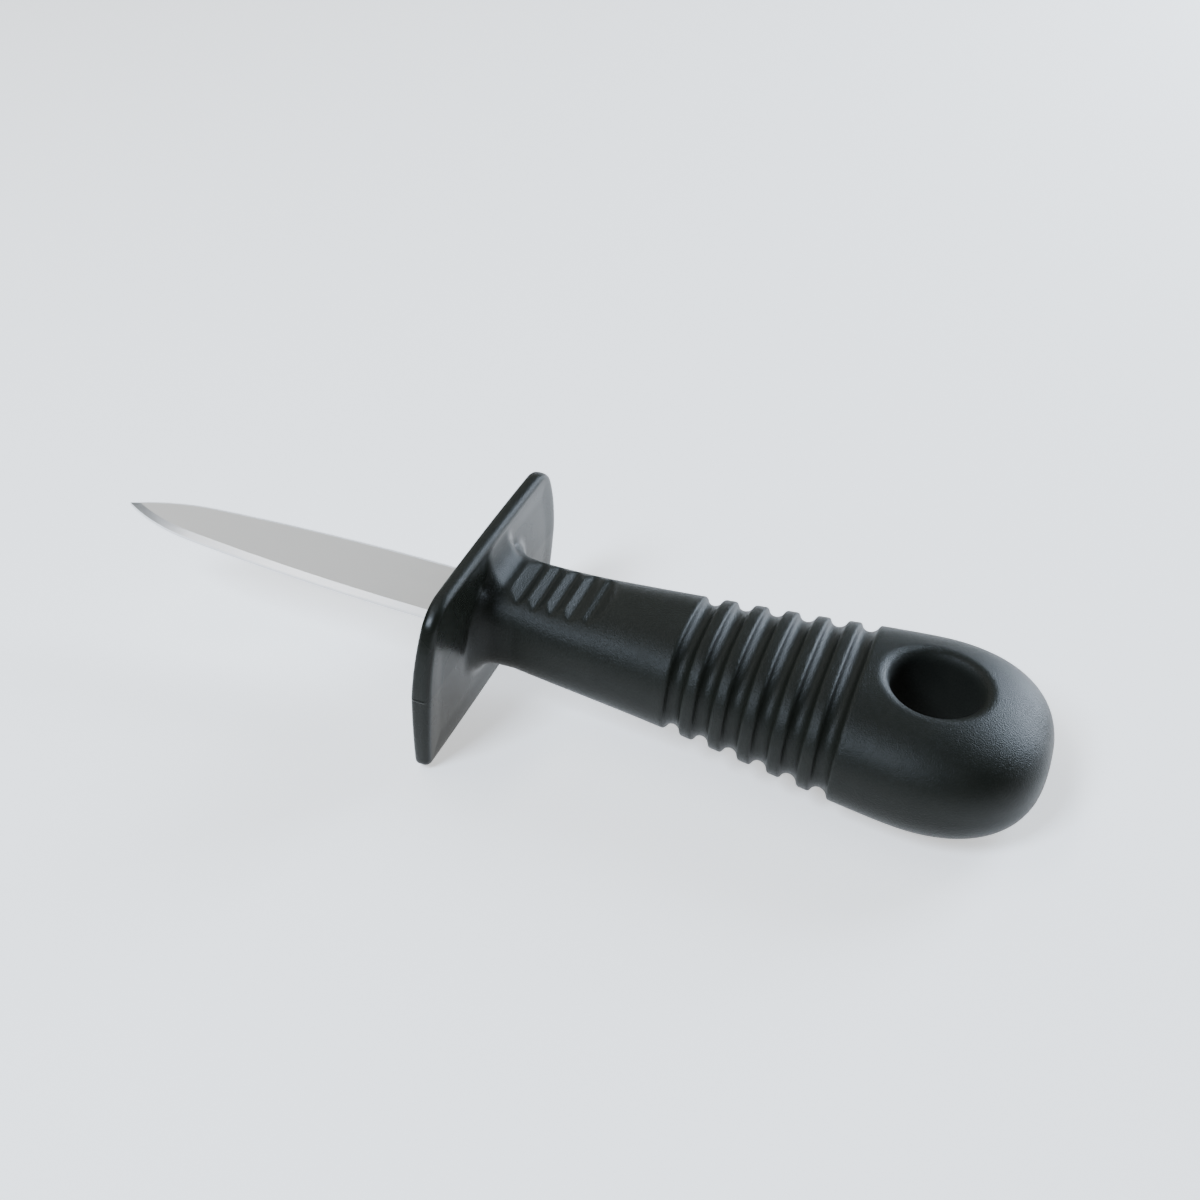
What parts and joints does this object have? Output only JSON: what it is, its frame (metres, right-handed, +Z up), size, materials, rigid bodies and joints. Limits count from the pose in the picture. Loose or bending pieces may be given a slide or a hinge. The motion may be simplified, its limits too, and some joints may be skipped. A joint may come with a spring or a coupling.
{
  "type": "oyster knife",
  "caption": "Oyster knife with a short lancet blade, an oval hand guard and a ribbed moulded handle that swells to a pommel with a hanging hole.",
  "frame": {"origin": "middle of the object's box, on the surface that it lies on", "axes": "+Z up as the knife lies on a table, on the guard's lower flat and the belly of the pommel; the blade points to -X and the pommel to +X, tipped down about 4 degrees towards the pommel; the left and right halves mirror in the XZ plane"},
  "size_m": [0.1698, 0.0556, 0.032],
  "materials": {
    "stainless_steel": "fine satin, ground along the bevels",
    "black_polypropylene": "black, finely pebbled by the mould, half gloss"
  },
  "bodies": {
    "root": {"blade": "stainless_steel", "handle": "black_polypropylene"}
  },
  "joints": []
}
